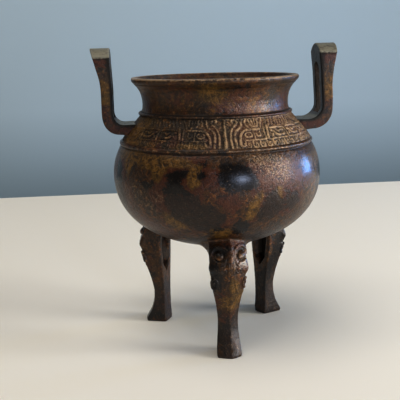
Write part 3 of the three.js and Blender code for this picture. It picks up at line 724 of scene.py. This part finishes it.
def bar_point(length, bend, root, faces):
    """Point of one face of the bar, length mm from its root: a straight arm, a quarter circle, then straight
    up, with the upright part led over to the measured face. Returns distance from the axis and height."""
    arm = np.clip(length / EAR_ROOT_LENGTH, 0, 1)
    turn = np.clip((length - EAR_ROOT_LENGTH) / EAR_BEND_LENGTH, 0, 1) * math.pi / 2
    rise = np.clip(length - EAR_ROOT_LENGTH - EAR_BEND_LENGTH, 0, None)
    on_arm = length < EAR_ROOT_LENGTH
    low = bend["z"] - bend["radius"]
    x = np.where(on_arm, root[0] + (bend["x"] - root[0]) * arm, bend["x"] + bend["radius"] * np.sin(turn))
    z = np.where(on_arm, root[1] + (low - root[1]) * arm, bend["z"] - bend["radius"] * np.cos(turn)) + rise
    heights, distances = fine_outline(faces, EAR_FACE_STEP).T
    wanted = np.interp(z, heights, softened(distances, EAR_FACE_BLURS))
    upright = bend["x"] + bend["radius"]
    return x + (wanted - upright) * soft_step(turn / (math.pi / 2)), z


def ear_point(across, length, depth, faces):
    """Point of the ear from its place across the bar, along it, and through it on a straight line from the
    inner face at depth 0 to the outer face at 1."""
    inner_x, inner_z = bar_point(length, EAR_INNER_BEND, EAR_ROOT_INNER, faces["inner"])
    outer_x, outer_z = bar_point(length, EAR_OUTER_BEND, EAR_ROOT_OUTER, faces["outer"])
    upright = soft_step((length - EAR_ROOT_LENGTH - EAR_BEND_LENGTH) / EAR_LEVELLING)
    outer_z = outer_z + (EAR_INNER_BEND["z"] - EAR_OUTER_BEND["z"]) * upright
    x, z = inner_x + (outer_x - inner_x) * depth, inner_z + (outer_z - inner_z) * depth
    return np.stack([x, across, z], -1)


def ear_loops():
    """Outer and inner outline of the ear's face, point for point, as place across and along the bar: half a
    loop from the bottom up to the crown, then its mirror image."""
    foot_steps, side_steps, crown_steps = 14, 70, 22
    side = np.linspace(0, 1, side_steps, endpoint=False)
    foot = np.linspace(0, 1, foot_steps, endpoint=False)
    rise = EAR_TOP - EAR_SPRING
    arch_radius = (EAR_HALF ** 2 + rise ** 2) / (2 * rise)
    loops = []
    for half, low, spring, top, radius in (
            (EAR_HALF, 0, EAR_SPRING, EAR_TOP, arch_radius),
            (SLOT_HALF, SLOT_LOW, SLOT_TOP - SLOT_HALF, SLOT_TOP, SLOT_HALF)):
        sweep = np.linspace(math.asin(half / radius), 0, crown_steps + 1)
        right = np.concatenate([
            np.stack([half * foot, low + 0 * foot], 1),
            np.stack([half + 0 * side, low + (along_ear(spring) - low) * side], 1),
            np.stack([radius * np.sin(sweep), along_ear(top) - radius + radius * np.cos(sweep)], 1)])
        loops.append(np.concatenate([right, right[-2:0:-1] * [-1, 1]]))
    return loops


def ear_section():
    """One trip round the bar's section, from the loop's hole to its edge and back, as four numbers a point:
    share of the width, rounding off it in mm, share of the depth, rounding off it in mm."""
    face = np.linspace(0, 1, 26)
    flat = np.linspace(0, 1, 6)
    corner = np.linspace(0, math.pi / 2, 6)[1:-1]
    falling, rising = 1 - np.sin(corner), 1 - np.cos(corner)
    none, whole = 0 * corner, 1 + 0 * corner
    rows = [
        np.stack([face, SLOT_ROUND * (1 - face) - EAR_ROUND * face, 1 + 0 * face, 0 * face], 1),
        np.stack([whole, -EAR_ROUND * falling, whole, -EAR_ROUND * rising], 1),
        np.stack([1 + 0 * flat, 0 * flat, 1 - flat, EAR_ROUND * (2 * flat - 1)], 1),
        np.stack([whole, -EAR_ROUND * rising, none, EAR_ROUND * falling], 1),
        np.stack([1 - face, SLOT_ROUND * face - EAR_ROUND * (1 - face), 0 * face, 0 * face], 1),
        np.stack([none, SLOT_ROUND * falling, none, SLOT_ROUND * rising], 1),
        np.stack([0 * flat, 0 * flat, flat, SLOT_ROUND * (1 - 2 * flat)], 1),
        np.stack([none, SLOT_ROUND * rising, whole, -SLOT_ROUND * falling], 1),
    ]
    return np.concatenate(rows)


def spun(x, y, height, degrees):
    """Points turned about the vessel's axis: x cos a - y sin a, x sin a + y cos a, and the height."""
    cos, sin = math.cos(math.radians(degrees)), math.sin(math.radians(degrees))
    return np.stack([x * cos - y * sin, x * sin + y * cos, height], -1)


ear_outer, ear_inner = ear_loops()
section = ear_section()
reach = np.hypot(*(ear_outer - ear_inner).T)[:, None]
share = section[:, 0] + section[:, 1] / reach
flat_place = ear_inner[:, None, :] + (ear_outer - ear_inner)[:, None, :] * share[..., None]
for name, side in (("ear_right", 1), ("ear_left", -1)):
    faces = EAR_FACES[name]
    ends = [ear_point(flat_place[..., 0], flat_place[..., 1], depth, faces) for depth in (0.0, 1.0)]
    ear_depth = section[:, 2] + section[:, 3] / np.linalg.norm(ends[1] - ends[0], axis=-1)
    shape = ear_point(flat_place[..., 0], flat_place[..., 1], ear_depth, faces)
    across, height = shape[..., 1] * side, shape[..., 2]
    crown_height = EAR_SPRING + (EAR_TOP - EAR_SPRING) * (1 - (across / EAR_HALF) ** 2)
    on_crown = soft_step((height - crown_height + 1.0) / 0.6)
    crown_edge = bell(height - EAR_SPRING + 0.1, 0.6) * (np.abs(across) > EAR_HALF - 1.4)
    shape[..., 1] += CROWN_CORNER * np.sign(shape[..., 1]) * crown_edge
    shadow_below_crown = bell(height - EAR_SPRING + CROWN_SHADOW_DROP, 0.5)
    # Painted shade: a dark strip down the front corner beside the inner face
    shaded_front_corner = (across < -EAR_HALF + 1.2) * soft_step((0.3 - ear_depth) / 0.1)
    inner_face = (ear_depth < 0.12) * 1.0
    in_slot = (share < 0.14) * 1.0
    plain_side = np.clip(inner_face + in_slot, 0, 1)
    ear_grid = spun(shape[..., 0] * side, shape[..., 1] * side, height, EAR_TURNS[name])
    # The patches are placed in thirds of a mm across the bar and in mm of height
    ear_masks = {
        # Painted highlight: the pale crown and the bright line along its lower edge stand for light on the
        # top, over some wear
        "worn": np.clip((1.0 - 0.12 * side) * on_crown + crown_edge
                        + 0.85 * soft_step((126.5 - height) / 2) * inner_face, 0, 1.2),
        "grey": 0.8 * np.clip(on_crown + plain_side, 0, 1),
        "gold": 0.8 * soft_step((154 - height) / 10) * soft_step((height - 130) / 8) * (1 - plain_side),
        "red": 0.8 * patches(across * 3, height, [(-34, 121, 16, 3), (-34, 157, 25, 4)]),
        "stain": 0.45 * patches(across * 3, height, [(-34, 128, 12, 4)]),
        # The ears' near-black is all painted shade: the front corner strip and the shadow line under the
        # crown
        "hollow": np.clip(shaded_front_corner + 0.8 * shadow_below_crown * (1 - inner_face), 0, 1) * (1 - on_crown),
    }
    ear = cast_mesh(name, ear_grid, False, ear_masks)
    # Handled bronze: the eye sees a greyer, duller brown, golden halfway up, with a pale crown that is
    # partly worn and partly painted highlight where it faces the light from above
    finish = patinated_bronze(name + "_handled_bronze", EAR_ROUGHNESS, EAR_BROWN, EAR_DUST_AND_SHEEN)
    ear.data.materials.append(finish)
    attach(ear, "root")
    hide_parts("ding")

# Legs: three cabriole legs cast under the belly, each with an animal mask on its knee: round eyes in
# deep sockets, slanting brows, curls on the side edges. The back is flat, with a hollow left by the
# casting core that closes to a point halfway down.
LEGS = {"leg_front": (0, 1.1), "leg_right": (123.5, 0), "leg_left": (-117.5, 0)}
LEG_HEIGHTS = [0, 0.9, 4, 8, 14, 20, 27, 33, 38, 44, 50, 57, 61, 64, 68]
LEG_SIZES = {
    "back": [33.2, 33, 33.2, 33.4, 33.5, 33.5, 33.6, 33.6, 33.7, 33.8, 33.8, 33.6, 33.4, 33.2, 33],
    "back_half": [4.4, 4.8, 4.7, 4.5, 4.4, 4.6, 5.4, 6.2, 7.2, 8, 8.5, 8.8, 8.8, 8.7, 8.6],
    "corner": [44.8, 45.4, 43.4, 41.2, 39.8, 39.7, 41, 42.5, 43.9, 45.2, 45.3, 43.8, 41.7, 39.8, 37.6],
    "half": [6.5, 7, 6.8, 6.3, 5.7, 5.5, 6.2, 7.3, 8.5, 9.4, 9.8, 10, 9.7, 9.4, 9],
    "keel": [47.7, 48.4, 46.3, 43.9, 42.3, 42.2, 43.8, 45.6, 47.4, 49, 49.9, 48.8, 46.6, 44.6, 41.6],
}
SECTION_STOPS = [0, 0.14, 0.5, 0.76, 1]
# Where the front facet's edge lies from the corner to the keel, and its share of the half width
FACET_REACH = 0.66
FACET_WIDTH = 0.47
# The fillet under the belly: its radius at each stop, and the middle it spreads from, back to keel
FILLET_RADII = [9.5, 9.5, 1.8, 1.6, 1.5]
FILLET_MIDDLE = 0.6
FILLET_HALVINGS = 14
LEG_COLUMNS = 190
LEG_ROWS = 250
LEG_BURIED = 66
LEG_TOP_GUESS = 61.0
LEG_INTO_WALL = 1.3
RECESS_DEPTH = 5.6
RECESS_POINT = 31
RECESS_HEIGHTS = [RECESS_POINT, 37, 58, 70]
RECESS_HALVES = [0, 4.3, 6, 7]
SOLE_SKIN = 0.9
SOLE_EDGE = 1.2
LEG_GRAIN_SEED = 23
LEG_ROUGHNESS = 0.4

leg_z = np.linspace(0, LEG_HEIGHTS[-1], 341)
leg_lines = {}
for key, values in LEG_SIZES.items():
    smooth = softened(np.interp(leg_z, LEG_HEIGHTS, values), 60)
    leg_lines[key] = smooth + np.interp(leg_z, [0, SOLE_EDGE], [1, 0]) * (values[0] - smooth[0])
from_back = 1 - np.abs(np.linspace(-1, 1, LEG_COLUMNS, endpoint=False))
side_sign = np.where(np.arange(LEG_COLUMNS) < LEG_COLUMNS // 2, -1, 1)


def leg_outline(z, keel_shift):
    """The leg's section at each point's height, as place across and distance from the axis: straight
    stretches from the middle of the back to its corner, the side's front corner, the front facet and
    the keel, rounded. The fillet spreads it by r - sqrt(r^2 - (r - gap)^2) where the gap up to the belly
    is under r, and as the gap depends on the spread, halving finds where both agree."""
    at = {key: np.interp(z, leg_z, line) for key, line in leg_lines.items()}
    facet = at["corner"] + (at["keel"] - at["corner"]) * FACET_REACH
    corners_w = [0 * at["half"], at["back_half"], at["half"], at["half"] * FACET_WIDTH, 0 * at["half"]]
    corners_u = [at["back"], at["back"], at["corner"], facet, at["keel"]]
    w, u = np.zeros(z.shape), np.zeros(z.shape)
    for start in range(4):
        low, high = SECTION_STOPS[start], SECTION_STOPS[start + 1]
        share = (from_back - low) / (high - low)
        here = (share >= 0) & ((share < 1) if start < 3 else (share <= 1))
        w = np.where(here, corners_w[start] + (corners_w[start + 1] - corners_w[start]) * share, w)
        u = np.where(here, corners_u[start] + (corners_u[start + 1] - corners_u[start]) * share, u)
    w = w * side_sign + keel_shift * soft_step((from_back - 0.5) / 0.5)
    w, u = softened(w, 8, -1, True), softened(u, 8, -1, True)
    middle = at["back"] + (at["keel"] - at["back"]) * FILLET_MIDDLE
    length = np.hypot(w, u - middle)
    out_w, out_u = w / length, (u - middle) / length
    radius = softened(np.interp(from_back, SECTION_STOPS, FILLET_RADII), 6, 0, True)
    least, most = np.zeros(z.shape), radius + np.zeros(z.shape)
    for _ in range(FILLET_HALVINGS):
        spread = (least + most) / 2
        gap = np.clip(belly_underside(np.hypot(w + out_w * spread, u + out_u * spread)) - z, 0, radius)
        wanted = radius - np.sqrt(radius ** 2 - (radius - gap) ** 2)
        least, most = np.where(wanted > spread, spread, least), np.where(wanted > spread, most, spread)
    return w + out_w * least, u + out_u * least


# Lines of half a leg mask: mm round from the keel and mm up from the floor, then width and height
LEG_LINES = [
    ([(0.6, 58.6), (3, 61.2), (6.6, 62.2), (9.6, 60.4), (11, 57.4)], 1.5, 0.55),
    ([(1.2, 53.5), (1.5, 47), (2.4, 41), (3.9, 36.6)], 0.9, 0.22),
    ([(9, 37), (6, 35), (3.4, 31.4), (1.6, 27)], 0.8, 0.22),
]
LEG_EYE = (6.4, 57.2)
SOCKET_DEPTH = 0.75
SOCKET_RADIUS = 3.3
LEG_RINGS = [((9.2, 41.6), (1.9, 3.0), 0.95, 0.75), ((4.2, 49.3), (1.3, 1.2), 0.7, 0.28)]
LEG_KNOBS = [(LEG_EYE, (2.3, 2.3), 1.45), ((0, 60.8), (1.8, 2.2), 0.7), ((9.2, 41.8), (0.8, 1.3), 0.6)]
LEG_CHEEK = ((7.8, 51.2), (4.8, 3.9), 0.65)
LEG_CUTS = [
    ([(2.2, 56), (2.8, 52.2), (4.8, 50.8), (8.4, 46.4), (11, 46.2)], 0.4, 0.3),
    ([(6.2, 45.4), (5.6, 41), (6.6, 37.6)], 0.4, 0.28),
]


def leg_mask(q, z):
    """Height of the carving on a leg's front in mm, q mm round from the keel and z mm up: the highest of
    the lines, rings and knobs, plus the cheek and the lobe at the side, less the socket and the cuts."""
    q = np.abs(q)
    raised = [raised_line(q, z, bent(path), width, height) for path, width, height in LEG_LINES]
    raised += [ring_line(q, z, *ring) for ring in LEG_RINGS]
    raised += [boss(q, z, *knob) for knob in LEG_KNOBS]
    raised = np.max(raised, axis=0)
    cuts = np.max([raised_line(q, z, bent(path), width, depth) for path, width, depth in LEG_CUTS], axis=0)
    from_eye = np.hypot(q - LEG_EYE[0], z - LEG_EYE[1])
    socket = SOCKET_DEPTH * np.exp(-(from_eye / SOCKET_RADIUS) ** 6) * (raised < 0.3)
    cheek = boss(q, z, *LEG_CHEEK)
    lobe = bell(z - 49.4, 2.6) - 0.6 * bell(z - 45.6, 0.7)
    return raised + cheek + 0.7 * lobe * bell(q - 10.6, 2.2) - socket - cuts * (raised < 0.25)


def grid_normals(grid):
    """Outward direction at each point of a grid that runs round a leg: the cross product of its slopes along
    and across the grid."""
    across = np.roll(grid, -1, 1) - np.roll(grid, 1, 1)
    normal = np.cross(across, np.gradient(grid, axis=0))
    return normal / np.maximum(np.linalg.norm(normal, axis=-1, keepdims=True), TINY)


# Marks on each leg: round patches as mm round from the keel, height and half sizes, and the share of
# crest wear and painted highlight
LEG_MARKS = {
    "leg_front": {
        "stain": [(-9, 46, 4, 9), (-5, 60, 5, 3)], "gold": [(5, 34, 6, 5), (0, 30, 8, 6), (2, 40, 4, 6)],
        "red": [(2, 62, 9, 3), (-5, 33, 5, 4), (-3, 21, 5, 4)], "worn": 0.5},
    "leg_right": {
        "stain": [(-14, 40, 6, 26)], "gold": [(6, 34, 6, 8)], "red": [(8, 56, 4, 4)], "worn": 0.4},
    "leg_left": {
        "stain": [(4, 31, 7, 4), (4, 3, 12, 4)], "gold": [(0, 44, 12, 7)], "red": [(0, 55, 12, 8)],
        "worn": 0.35},
}
for name, (azimuth, keel_shift) in LEGS.items():
    top = np.full((1, LEG_COLUMNS), LEG_TOP_GUESS)
    for _ in range(12):
        w_top, u_top = leg_outline(top, keel_shift)
        top = 0.5 * top + 0.5 * (belly_underside(np.hypot(w_top, u_top)) + LEG_INTO_WALL)
    rise = np.r_[0, 0.25, 0.5, np.linspace(SOLE_SKIN, LEG_BURIED, LEG_ROWS - 3)][:, None] / LEG_BURIED
    height = rise * top
    w, u = leg_outline(height, keel_shift)
    shape = np.stack([w, -u, height], -1)
    stride = np.hypot(np.diff(w, axis=1, append=w[:, :1]), np.diff(u, axis=1, append=u[:, :1]))
    walked = np.cumsum(stride, axis=1) - stride
    from_keel = walked - walked[:, LEG_COLUMNS // 2:LEG_COLUMNS // 2 + 1]
    on_front = soft_step((from_back - 0.34) / 0.08)
    carving = leg_mask(from_keel, height) * on_front
    crest = carving - softened(softened(carving, 14, 1, True), 14)
    grain = CAST_GRAIN * 0.8 * cast_grain(carving.shape, LEG_GRAIN_SEED, 2, False) * soft_step(height / 2)
    shape = shape + softened(grid_normals(shape), 4, 1, True) * (carving + grain)[..., None]
    recess_half = np.interp(height, RECESS_HEIGHTS, RECESS_HALVES)
    in_recess = soft_step((recess_half - np.abs(w)) / 0.5) * (from_back < 0.3)
    in_recess = in_recess * soft_step((height - RECESS_POINT) / 0.8)
    shape[..., 1] -= RECESS_DEPTH * in_recess
    leg_grid = spun(shape[..., 0], shape[..., 1], height, azimuth)
    marks = LEG_MARKS[name]
    # Painted highlight: crest dust is stronger on the right facet, which faces the light, and a pale line
    # runs down the lower keel
    crest_wear_and_light = marks["worn"] * soft_step((crest - 0.05) / 0.4) * (0.3 + 0.7 * (from_keel > 0))
    keel_highlight = bell(from_keel, 0.8) * soft_step((34 - height) / 8)
    leg_masks = {key: patches(from_keel, height, marks[key]) for key in ("stain", "red", "gold")}
    # Painted shade: the core's recess at the back takes near-black
    leg_masks["hollow"] = np.clip(0.65 * soft_step((-crest - 0.05) / 0.25) + 0.9 * in_recess, 0, 1)
    leg_masks["worn"] = crest_wear_and_light + 0.3 * keel_highlight
    leg_masks["polish"] = (0.8 * patches(from_keel, height, [(7, 54, 5, 5)])
                           + 0.35 * patches(from_keel, height, [(5, 20, 5, 14)]))
    # Pale flecks on the legs are painted glints
    leg_masks["pit_glints"] = 0.1
    leg_masks["grey"] = 0.75 * soft_step((36 - height) / 18)
    leg = cast_mesh(name, leg_grid, True, leg_masks)
    # Cast bronze that was filed: the eye sees brown with golden knees, greyer and duller to the foot
    leg.data.materials.append(patinated_bronze(name + "_bronze", LEG_ROUGHNESS))
    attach(leg, "root")
    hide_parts("ding")

# Floor: one wide flat sheet just under the feet, even and matt. The eye sees a warm near-white.
FLOOR_HALF_WIDTH = 1.6
FLOOR_FRONT = (-1.2, -0.0002)
FLOOR_BACK = (0.42, -0.0002)
FLOOR_COLOUR = "#ebe8e0"
SHEET_ROUGHNESS = 0.95


def matt_sheet(name, half, near, far, colour):
    """One flat matt backdrop between two level edges, each given by its y and z. Returns its nodes."""
    mesh = bpy.data.meshes.new(name)
    mesh.from_pydata([(-half, *near), (half, *near), (half, *far), (-half, *far)], [], [(0, 1, 2, 3)])
    sheet = bpy.data.objects.new(name, mesh)
    bpy.context.scene.collection.objects.link(sheet)
    finish = bpy.data.materials.new(name + "_matt")
    finish.use_nodes = True
    inputs = finish.node_tree.nodes["Principled BSDF"].inputs
    inputs["Base Color"].default_value = linear(colour)
    inputs["Roughness"].default_value = SHEET_ROUGHNESS
    mesh.materials.append(finish)
    return finish.node_tree


matt_sheet("floor", FLOOR_HALF_WIDTH, FLOOR_FRONT, FLOOR_BACK, FLOOR_COLOUR)

# Wall: one upright sheet far behind, matt. The eye sees a pale blue-grey, with painted shade that
# darkens it low down.
WALL_HALF_WIDTH = 3
WALL_FOOT = (1.4, -1)
WALL_TOP = (1.4, 1.6)
WALL_SHADE_BELOW = -0.225
WALL_CLEAR = 0.02
WALL_SHADED_COLOUR = "#93a7b2"
WALL_COLOUR = "#c0d3de"

wall = matt_sheet("wall", WALL_HALF_WIDTH, WALL_FOOT, WALL_TOP, WALL_COLOUR)
wall_place = add(wall, "ShaderNodeTexCoord").outputs["Object"]
wall_z = add(wall, "ShaderNodeSeparateXYZ", {0: wall_place}).outputs["Z"]
wall_share = add(wall, "ShaderNodeMapRange", {
    "Value": wall_z, "From Min": WALL_SHADE_BELOW, "From Max": WALL_CLEAR}).outputs[0]
wall_tint = add(wall, "ShaderNodeMix", {
    "Factor": wall_share, MIX_UNDER: linear(WALL_SHADED_COLOUR), MIX_OVER: linear(WALL_COLOUR)},
    data_type="RGBA").outputs[MIX_RESULT]
wall.links.new(wall_tint, wall.nodes["Principled BSDF"].inputs["Base Color"])

# Light: three windows on the right, the rearmost bluer and the foremost low, a small cool one near the
# front, a warm glow from high on the left, and a dim room. Each is a soft rectangle aimed at the belly:
# azimuth (0 is the front, 90 the right), elevation, distance, width, height, power and colour.
LIGHTS = {
    "side_window": (72, 13, 1.3, 0.4, 0.66, 15.0, "#f4f1ea"),
    "rear_window": (105, 2, 1.3, 0.34, 0.48, 8.5, "#7cb0f5"),
    "low_window": (50, 2, 1.3, 0.5, 0.3, 7.0, "#f1efec"),
    "front_window": (19, 5, 1.1, 0.13, 0.12, 2.2, "#cfdfff"),
    "room_glow": (-50, 74, 1.6, 1.2, 1.2, 16.0, "#fff6ea"),
}
AIM = (0, 0, 0.1)
ROOM_GREY = "#c0bcb4"
ROOM_STRENGTH = 0.32
VIEW_GAMMA = 0.85

for name, (azimuth, elevation, distance, width, height, power, colour) in LIGHTS.items():
    lamp = bpy.data.lights.new(name, "AREA")
    lamp.shape = "RECTANGLE"
    lamp.size, lamp.size_y, lamp.energy = width, height, power
    lamp.color = linear(colour)[:3]
    light = bpy.data.objects.new(name, lamp)
    bpy.context.scene.collection.objects.link(light)
    turn, lift = math.radians(azimuth), math.radians(elevation)
    away = Vector((math.sin(turn) * math.cos(lift), -math.cos(turn) * math.cos(lift), math.sin(lift)))
    light.location = Vector(AIM) + away * distance
    light.rotation_euler = away.to_track_quat("Z", "Y").to_euler()
world = bpy.data.worlds.new("pale_room")
bpy.context.scene.world = world
world.use_nodes = True
room = world.node_tree.nodes["Background"].inputs
room["Color"].default_value = linear(ROOM_GREY)
room["Strength"].default_value = ROOM_STRENGTH
bpy.context.scene.view_settings.view_transform = "Standard"
bpy.context.scene.view_settings.gamma = VIEW_GAMMA

# Camera: held a little left of the front and above the rim, looking slightly down.
CAMERA_PLACE = (-0.04633, -0.39977, 0.1636)
CAMERA_SIDE = 6.61
CAMERA_YAW = 1.403
CAMERA_PITCH = 12.084
CAMERA_ROLL = -1.438
CAMERA_LENS = 63.97
CAMERA_SENSOR = 36
CAMERA_NEAREST = 0.01
camera = bpy.data.objects.new("camera", bpy.data.cameras.new("camera"))
bpy.context.scene.collection.objects.link(camera)
heading = math.radians(90 - CAMERA_SIDE + CAMERA_YAW)
pitch, roll = math.radians(CAMERA_PITCH), math.radians(CAMERA_ROLL)
look = Vector((math.cos(heading) * math.cos(pitch), math.sin(heading) * math.cos(pitch), -math.sin(pitch)))
level = Vector((math.sin(heading), -math.cos(heading), 0))
upward = level.cross(look)
right = level * math.cos(roll) + upward * math.sin(roll)
upright = upward * math.cos(roll) - level * math.sin(roll)
camera.matrix_world = Matrix.Translation(CAMERA_PLACE) @ Matrix((right, upright, -look)).transposed().to_4x4()
camera.data.lens = CAMERA_LENS
camera.data.sensor_width = CAMERA_SENSOR
camera.data.clip_start = CAMERA_NEAREST
bpy.context.scene.camera = camera
